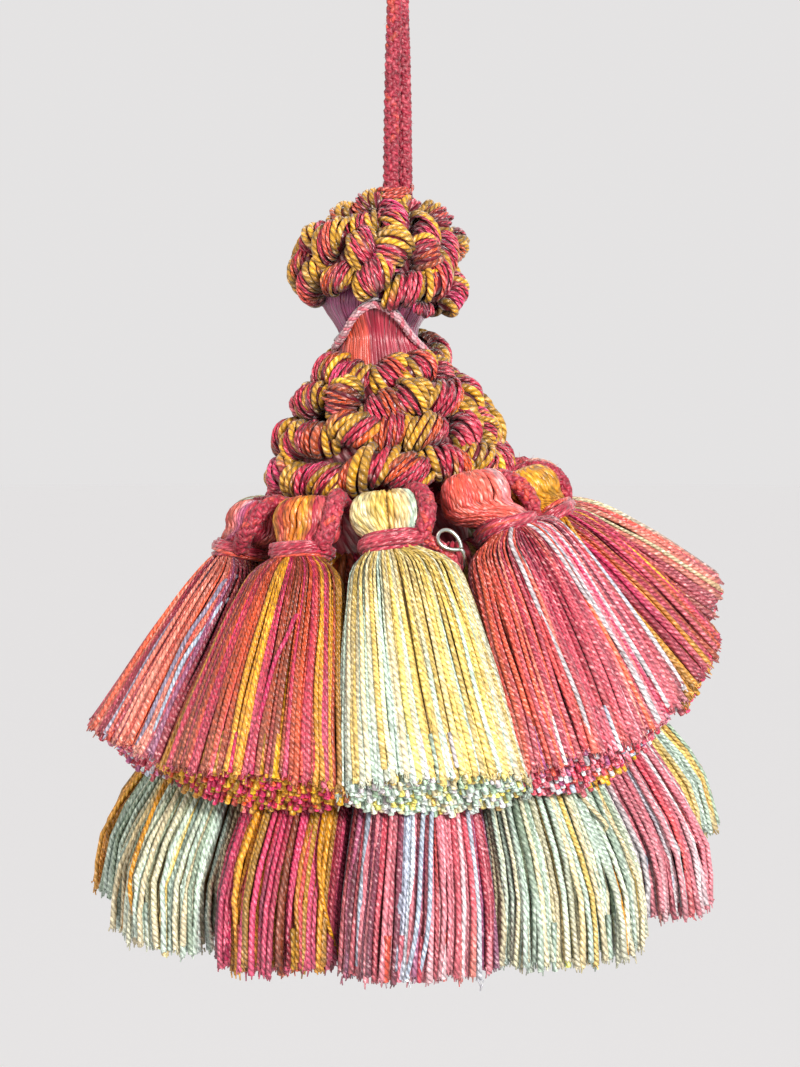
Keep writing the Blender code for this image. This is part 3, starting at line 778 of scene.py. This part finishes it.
def make_head(skein, guide, rng):
    """The drum of smooth yarn over the hanger, drawn in to the binding."""
    count = guide.tier.head
    place = guide.place._replace(front=guide.place.head or guide.place.front)
    angles = np.linspace(0, FULL_TURN, count, endpoint=False) + rng.normal(0, 0.012, count)
    across, outward = squared(angles)
    along = np.broadcast_to(np.linspace(0.0, guide.waist + 0.02, 12), (count, 12))
    side = across[:, None] * 0.97 + ripple(rng, count, along[:, :1] + 0.3, 0.006)
    out = outward[:, None] * 0.96 + rng.normal(0, 0.012, (count, 1))
    radii = (0.49 - 0.425 * ramp(along / guide.waist, 0.6, 1.0)) * rng.normal(1, 0.08, (count, 1))
    radii[:, 0] *= 0.6
    dyes = dye_strands(rng, place, across, outward, along, 0.2)
    skein.add(guide.point(side, out, along), radii, blended(dyes), rng, sides=4, pitch=4.0)


def make_binding(guide, rng):
    """Wraps of floss round the waist in two layers, over a sleeve darkened as painted shade between the
    wraps.
    """
    skein = Skein()
    wraps = guide.tier.wraps
    half = wraps // 2
    lines, dyes = [], []
    for wrap in range(wraps):
        level = wrap % (half + 1) / half * 2 - 1
        upper = wrap > half
        slope = rng.normal(0, 0.20) + 0.12
        rise = level * (0.68 if upper else 0.95) + slope * np.cos(RING + rng.uniform(0, NEAR_TURN))
        wave = 0.10 * np.sin(RING * 2 + rng.uniform(0, NEAR_TURN))
        lines.append(guide.waist_ring(0.32 + 0.34 * upper + wave + 0.22 * (1 - level ** 2), rise))
        dyes.append([LINEAR[rng.choice(list("rcrccrk"))] * rng.normal(0.88, 0.12)])
    radii = rng.uniform(0.24, 0.32, (wraps, 1))
    skein.add(np.array(lines), radii, np.array(dyes), rng, sides=5, pitch=3.0, caps=OPEN)
    # The sleeve is crimson darkened to painted shade, seen where the wraps part.
    sleeve = [guide.waist_ring(0.22, rise)[:-1] for rise in np.linspace(0.9, -0.9, 4)]
    skein.surface(np.array(sleeve), LINEAR["c"] * 0.45)
    return skein


def make_tier(tier):
    for number, place in enumerate(tier.places):
        rng = np.random.default_rng(tier.seed + 7 * number)
        guide = Guide(tier, number)
        colourway = COLOURWAYS[place.colourway]
        name = "%s_tassel_%02d" % (tier.name, number + 1)
        skein = Skein()
        # Both cores are dyed darker than their yarn, as painted shade in the gaps between the strands.
        make_core(skein, guide, 0.02, guide.waist, 0.88, LINEAR[colourway.head_heart] * 0.6)
        make_core(skein, guide, guide.waist, 0.955, 0.84, LINEAR[colourway.heart] * 0.35)
        make_skirt(skein, guide, rng, colourway.lock)
        make_layer(skein, guide, rng)
        make_stubs(skein, guide, rng)
        make_strays(skein, guide, rng)
        make_head(skein, guide, rng)
        yarn = GOLD_YARN if place.colourway == "g" else SKIRT_YARN
        skein.finish(name + "_yarn", yarn, colourway.slot, name + "_bundle")
        binding = make_binding(guide, rng)
        if name == TAILED_TASSEL:
            tail = glide([polar(*stop) for stop in BINDING_TAIL], 24)
            braid(binding, tail, 0.85, 0.34, np.random.default_rng(43), ("krckr",), 4.5, 0.95, sides=5)
        binding.finish(name + "_wraps", BIND_FLOSS, "binding_yarn", name + "_binding")
        if tier.name == "upper":
            make_hanger(name, place, rng)


# ---- Cords ----


def braid(skein, line, radius, yarn, rng, palettes, pitch, shade, sides=6):
    """A round braid along a line: every other end turns the other way, over and under the rest.
    palettes are the dyes of equal lengths of it, from its start to its end, darkened to shade."""
    turns = steps_along(line).sum() / pitch
    count = max(int(turns * 12), 8)
    ends, pairs = 8, 4
    route = even(line, count)
    first, second = frame_along(route)
    share = np.linspace(0, 1, count)
    patches = count // (4 * len(palettes)) + 2
    lines, dyes = [], []
    for end in range(ends):
        way = 1 if end % 2 else -1
        angle = way * FULL_TURN * turns * share + FULL_TURN * (end // 2) / pairs
        lift = radius - yarn + way * 0.22 * yarn * np.cos(pairs * FULL_TURN * turns * share)
        lines.append(route + turned(first, second, angle) * lift[:, None])
        names = np.concatenate([rng.choice(list(palette), patches) for palette in palettes])
        knots = np.linspace(0, count - 1, len(names))
        dyes.append(interpolate(np.arange(count), knots, dyed(names)))
    dyes = np.array(dyes) * rng.normal(shade, 0.06, (ends, 1, 1))
    skein.add(np.array(lines), yarn, dyes, rng, sides=sides, pitch=1.6, caps=CLOSED)


def fuzz(skein, line, radius, rng, count, palette, reach):
    """Loose fibres standing off a cord."""
    dense = even(line, 200)
    first, second = frame_along(dense)
    spots = rng.integers(2, 197, count)
    across = turned(first[spots], second[spots], rng.uniform(0, FULL_TURN, count))
    run = unit(dense[spots + 1] - dense[spots]) * rng.choice((-1, 1), (count, 1))
    size = reach * rng.uniform(0.4, 1.0, (count, 1, 1))
    curl = unit(rng.normal(0, 1, (count, 3)))
    share = np.linspace(0, 1, 4)[:, None]
    lines = (dense[spots] + across * radius * 0.8)[:, None] + size * (
        (across * 0.45 + run * 0.6)[:, None] * share + curl[:, None] * 0.35 * share ** 2)
    dyes = dyed(rng.choice(list(palette), count))[:, None] * 1.1
    skein.add(lines, 0.035 * (1 - 0.6 * share[:, 0]), dyes, rng, sides=3, pitch=4.0, caps=OPEN)


def make_hanger(name, place, rng):
    """A braided cord over a core darkened as painted shade between its ends, from the skirt ruff down into a
    head.
    """
    drop = min(place.lift, 0.0)
    head = place.waist + place.past
    route = [polar(radius + drop * 1.5, head + (place.waist - head) * share + turn, height + drop)
             for radius, height, turn, share in HANGER]
    line = glide(route, 60)
    skein = Skein()
    braid(skein, line, HANGER_DIAMETER / 2, 0.46, rng, ("ccrcckcr",), 5.5, 0.82, sides=5)
    line = even(line, 30)
    # The core is crimson darkened to painted shade, seen between the braid's ends.
    skein.add(line[None], HANGER_DIAMETER / 2 * 0.7, LINEAR["c"] * 0.4, rng, sides=8)
    fuzz(skein, line, HANGER_DIAMETER / 2, rng, 60, "ccrq", 1.4)
    skein.finish(name + "_cord", CORD_YARN, "hanger_cord", name + "_hanger")


def make_hanging_cord():
    rng = np.random.default_rng(11)
    line = even(glide(CORD_ROUTE, 400), 260)
    skein = Skein()
    braid(skein, line, CORD_DIAMETER / 2 * 1.06, 0.41, rng, ("ccckccrcc", "rccrccrc"), 5.0, 0.70)
    fuzz(skein, line, CORD_DIAMETER / 2, rng, 420, "crkq", 1.1)
    piece = skein.finish("hanging_cord_braid", CORD_YARN, "hanger_cord", "hanging_cord")


# ---- Ruffs ----


def knuckle(skein, rng, centre, normal, axis, half, girth, letters, slant=0.0):
    """A fat roll of parallel yarns wound over a short core whose two ends tuck inwards: gold and brown
    yarns are thick, and each red one is a pair of thinner ones."""
    side = np.cross(normal, axis)
    arc = np.radians(np.linspace(-35, 215, 13))
    bend = 0.95
    yarns = []
    for letter in letters:
        yarns += [(letter, 1.0)] if letter in THICK_DYES else [(letter, 0.58)] * 2
    sizes = np.array([size for _, size in yarns])
    total = sizes.sum()
    thick = half * bend / math.sin(bend) / total * 1.2
    # Painted light round each yarn's arc: darkened where it tucks into the gaps between knuckles, brightened
    # on its crest.
    painted_light = 0.20 + 0.85 * ramp(np.sin(arc), -0.10, 1.0) ** 1.1
    painted_light = (painted_light * (1 + 0.45 * ramp(np.sin(arc), 0.6, 0.4)))[:, None]
    lines, dyes, spine, radii = [], [], [], []
    for (letter, size), reached in zip(yarns, np.cumsum(sizes)):
        share = (reached - size / 2) / total * 2 - 1
        lean = share * bend
        middle = centre + half * (axis * math.sin(lean) - normal * (1 - math.cos(lean))) / math.sin(bend)
        way = axis * math.cos(lean) - normal * math.sin(lean)
        out = normal * math.cos(lean) + axis * math.sin(lean)
        swell = girth * (1 - 0.50 * share * share) * rng.normal(1, 0.08)
        shift = slant + rng.normal(0, 0.28)
        lines.append(middle + turned(side, out, arc) * swell + way * (shift * np.cos(arc))[:, None])
        other = LINEAR[rng.choice(list(letters))]
        blend = ramp(np.linspace(0, 1, 13), rng.uniform(0.3, 1.3), 0.2)[:, None]
        dyes.append((LINEAR[letter] * (1 - blend) + other * blend) * rng.normal(0.94, 0.12) * painted_light)
        radii.append([thick * size * rng.normal(1, 0.06)])
        spine.append(middle)
    lines, dyes, radii = np.array(lines), np.clip(dyes, 0, BRIGHTEST), np.array(radii)
    fat = sizes == 1.0
    for chosen, sides, pitch in ((fat, 6, 2.0), (~fat, 5, 2.4)):
        if chosen.any():
            skein.add(lines[chosen], radii[chosen], dyes[chosen], rng, sides=sides, pitch=pitch, caps=OPEN)
    core = even(np.array(spine), 7)
    heart = girth * (1 - 0.38 * np.linspace(-1, 1, 7) ** 2) - thick * 0.3
    # The core is crimson darkened to painted shade, seen between the yarns.
    skein.add(core[None], heart, LINEAR["c"] * 0.35, rng, sides=10, caps=CLOSED)


def make_ruff(node, rows, seed):
    rng = np.random.default_rng(seed)
    skein = Skein()
    for row in rows:
        for number in range(row.count):
            azimuth = 360 * number / row.count + row.shift + rng.normal(0, 3.5)
            level = row.height + rng.normal(0, 0.8)
            half = row.half * rng.normal(1, 0.12)
            girth = row.girth * rng.normal(1, 0.09)
            centre = polar(row.radius + rng.normal(0, 0.3) - girth * 0.3, azimuth, level)
            turn = math.radians(azimuth)
            normal = unit(np.array([math.sin(turn), -math.cos(turn), row.up + rng.normal(0, 0.12)]))
            level_way = unit(np.cross(np.array([0.0, 0.0, 1.0]), normal))
            up_way = np.cross(normal, level_way)
            tilt = math.radians(rng.normal(row.roll, 26.0))
            axis = level_way * math.cos(tilt) + up_way * math.sin(tilt)
            letters = list(rng.choice(KNUCKLE_DYES))
            letters = letters[::-1] if rng.random() < 0.5 else letters
            knuckle(skein, rng, centre, normal, axis, half, girth, letters, rng.normal(0.8, 0.7))
    add_ruff_bed(skein, rows, node == "top_ruff_upper_row")
    if node == "top_ruff_upper_row":
        add_cord_seat(skein, rng)
    if node == "top_ruff_lower_row":
        add_loose_end(skein, rng)
    skein.finish(node + "_gimp", GIMP_YARN, "gimp", node)


def add_ruff_bed(skein, rows, closed):
    """The bed that the knuckles are sewn to, between them and the mould, closed on top or not: crimson
    darkened to painted shade in the gaps between knuckles.
    """
    turns = np.linspace(0, 360, 48, endpoint=False)
    low, high = rows[-1].height - 1.2, rows[0].height + 0.9
    share = np.linspace(0, 1, 7)
    radii = rows[-1].radius + (rows[0].radius - rows[-1].radius) * share - 1.5
    heights = low + (high - low) * share
    if closed:
        radii, heights = np.append(radii, 0.4), np.append(heights, high + 0.2)
    skein.surface(polar(radii[:, None], turns, heights[:, None]), LINEAR["c"] * 0.3)


def add_cord_seat(skein, rng):
    """A few coral wraps crumpled round the foot of the hanging cord."""
    lines, dyes = [], []
    angles = np.linspace(0, FULL_TURN, 26)
    wraps = 9
    for wrap in range(wraps):
        size = rng.uniform(1.85, 2.35)
        tip = rng.uniform(0, NEAR_TURN)
        sag = rng.uniform(0.3, 0.8) * np.sin(angles + tip) + 0.2 * np.sin(angles * 3 + tip)
        across = -0.5 + rng.normal(0, 0.15) + size * 1.15 * np.cos(angles)
        lines.append(np.stack((across, size * np.sin(angles), 44.4 + 0.36 * wrap + sag + WAIST_PLANE), -1))
        dyes.append([LINEAR[rng.choice(list("kkccr"))] * rng.normal(0.85, 0.12)])
    radii = rng.uniform(0.24, 0.36, (wraps, 1))
    skein.add(np.array(lines), radii, np.array(dyes), rng, pitch=1.8, caps=OPEN)


def add_loose_end(skein, rng):
    """The gimp's end, a small dark crimson ball that hangs below the top ruff on the right."""
    centre = polar(10.6, 38.0, 30.9)
    normal = unit(np.array([0.3, -0.9, -0.3]))
    axis = unit(np.cross(normal, np.array([0.0, 0.3, 1.0])))
    knuckle(skein, rng, centre, normal, axis, 1.1, 1.0, list("ccpcm"))


# ---- Mould and neck ----


def make_mould():
    """Satin floss laid down the neck: mauve above the tie, crimson and coral below it."""
    rng = np.random.default_rng(21)
    skein = Skein()
    turns = np.linspace(0, 360, 40, endpoint=False)
    heights = np.concatenate((np.linspace(-11.0, -8.0, 3), np.linspace(-6, 40.1, 44)))
    radii = mould_radius(heights) + np.where(heights > 15, 0.22, 0.0)
    heights = np.concatenate(([-11.0], heights, [40.2]))
    radii = np.concatenate(([0.5], radii, [0.5]))
    skein.surface(polar(radii[:, None], turns, heights[:, None]), LINEAR["c"] * 0.6)
    for above, end, letters, count, lift in ((True, 35.5, "qqqcqqp", 118, 0.10),
                                             (False, 16.5, "cccccr", 120, 0.22)):
        azimuths = 360 * np.arange(count) / count + rng.normal(0, 0.8, count)
        wrapped = ((azimuths + 180) % 360 - 180)[:, None]
        tie = tie_height(wrapped)
        low, high = (tie - 0.2, end) if above else (end, tie + 0.25)
        share = np.linspace(0, 1, 12)
        height = low + (high - low) * share
        radius = mould_radius(height) + lift + rng.normal(0, 0.03, (count, 1))
        swirl = azimuths[:, None] + (share - 0.5) * rng.normal(6, 2.5, (count, 1))
        names = rng.choice(list(letters), count)
        coral = (not above) & (wrapped[:, 0] > -66) & (wrapped[:, 0] < -22)
        names = np.where(coral, rng.choice(list("okkoc"), count), names)
        dyes = blended(dyed(names))[:, None] * rng.normal(0.74, 0.05, (count, 1, 1))
        skein.add(polar(radius, swirl, height), 0.30, dyes, rng, sides=4, pitch=12.0, caps=CLOSED)
    skein.finish("neck_floss_wrap", HEAD_FLOSS, "neck_floss", "wrapped_mould")


def smoothed(values, reach):
    """Values round a ring, each the mean of those within reach of it."""
    span = 2 * reach + 1
    return np.convolve(np.pad(values, reach, mode="wrap"), np.ones(span) / span, mode="valid")


def make_neck_tie():
    """A pink twisted cord and a silvery strand round the neck, peaked at the front."""
    rng = np.random.default_rng(31)
    azimuths = np.linspace(-180, 180, 140)
    heights = smoothed(tie_height(azimuths), 3)
    seat = smoothed(np.max([mould_radius(heights + rise) for rise in (-0.5, 0.0, 0.5)], axis=0), 5)
    line = polar(seat + 0.85, azimuths, heights)
    first, second = frame_along(line)
    twist = np.linspace(0, FULL_TURN * 26, 140)
    lines = [line + turned(first, second, twist + phase) * 0.27 for phase in (0.0, 2.1, 4.2)]
    rose, pale = LINEAR["n"], (LINEAR["n"] + LINEAR["h"]) / 2
    skein = Skein()
    skein.add(np.array(lines), 0.31, np.array([[rose], [pale], [pale]]), rng, pitch=1.6)
    silver = polar(seat + 0.72, azimuths, heights + 0.75 + 0.25 * np.sin(np.radians(azimuths * 3)))
    skein.add(silver[None], 0.20, LINEAR["h"] * 0.8, rng, pitch=1.4)
    skein.finish("neck_tie_twist", BIND_FLOSS, "tie_cord", "neck_tie")


def make_wire_eye():
    """The end of the binding wire, bent into a small pointed eye, with its shank tucked in behind."""
    rng = np.random.default_rng(41)
    centre = polar(*EYE_PLACE)
    angles = np.linspace(0.2, FULL_TURN - 0.15, 34)
    slant = math.radians(-36)
    along = np.array([math.cos(slant), 0.0, math.sin(slant)])
    across = np.array([-math.sin(slant), 0.0, math.cos(slant)])
    backwards = np.array([0.0, 0.5, 0.0])
    drop_shape = 1.3 * np.sin(angles) * np.sin(angles / 2) ** 0.6
    eye = (centre + along * 1.75 * np.cos(angles)[:, None] + across * drop_shape[:, None]
           + backwards * (angles / 7 - 0.4)[:, None])
    shank = eye[-1] + np.array([(0.35, 0.1, -0.45), (0.5, 0.45, -1.2), (0.45, 1.2, -2.2), (0.2, 2.2, -3)])
    skein = Skein()
    skein.add(even(np.vstack((eye, shank)), 60)[None], 0.28, LINEAR["h"], rng, sides=8, caps=CLOSED)
    skein.finish("wire_eye_loop", wire_material(), "wire", "wire_eye")


# ---- Stage ----


def make_stage():
    """A wide pale floor, far enough below the hanging tassel to leave every view clear."""
    bpy.ops.mesh.primitive_circle_add(vertices=96, radius=12.0, fill_type="TRIFAN",
                                      location=(0.0, 0.0, CAD_BOX[0][2] - 0.7))
    floor = bpy.context.object
    floor.name = "pale_floor"
    paper = Graph("pale_paper")
    paper.feed(paper.shader, {"Base Color": (0.995, 0.99, 0.99, 1.0), "Roughness": 1.0})
    floor.data.materials.append(paper.material)


def area_light(name, place, size, power, colour):
    """A round light that faces the middle of the tassel."""
    light = with_settings(bpy.data.lights.new(name, "AREA"), shape="DISK", size=size, energy=power,
                          color=colour)
    facing = (Vector((0.0, 0.0, -0.095)) - Vector(place)).to_track_quat("-Z", "Y")
    placed(name, light, location=place, rotation_mode="QUATERNION", rotation_quaternion=facing)


def make_lights():
    area_light("key", (0.18, -0.42, 0.05), 0.10, 3.0, (1.0, 0.98, 0.95))
    area_light("fill", (-0.45, -0.30, 0.02), 0.4, 0.9, (1.0, 0.88, 0.76))
    area_light("rim", (0.10, 0.40, 0.25), 0.35, 0.6, (1.0, 1.0, 1.0))
    world = bpy.data.worlds.new("soft_room")
    world.use_nodes = True
    background = world.node_tree.nodes["Background"]
    background.inputs["Color"].default_value = (1.0, 0.985, 0.985, 1.0)
    background.inputs["Strength"].default_value = 0.78
    bpy.context.scene.world = world
    bpy.context.scene.view_settings.view_transform = "Standard"


def make_camera():
    lens = with_settings(bpy.data.cameras.new("photo_view"), lens=70.0, sensor_width=36.0, clip_start=0.01)
    bpy.context.scene.camera = placed("photo_view", lens, location=(0.0003, -0.290, -0.065),
                                      rotation_euler=(math.radians(85.0), 0.0, 0.0))


make_camera()
make_hanging_cord()
make_mould()
make_neck_tie()
for order, (ruff_node, ruff_rows) in enumerate(RUFFS.items()):
    make_ruff(ruff_node, ruff_rows, 40 + order)
for each_tier in TIERS:
    make_tier(each_tier)
make_wire_eye()
make_stage()
make_lights()
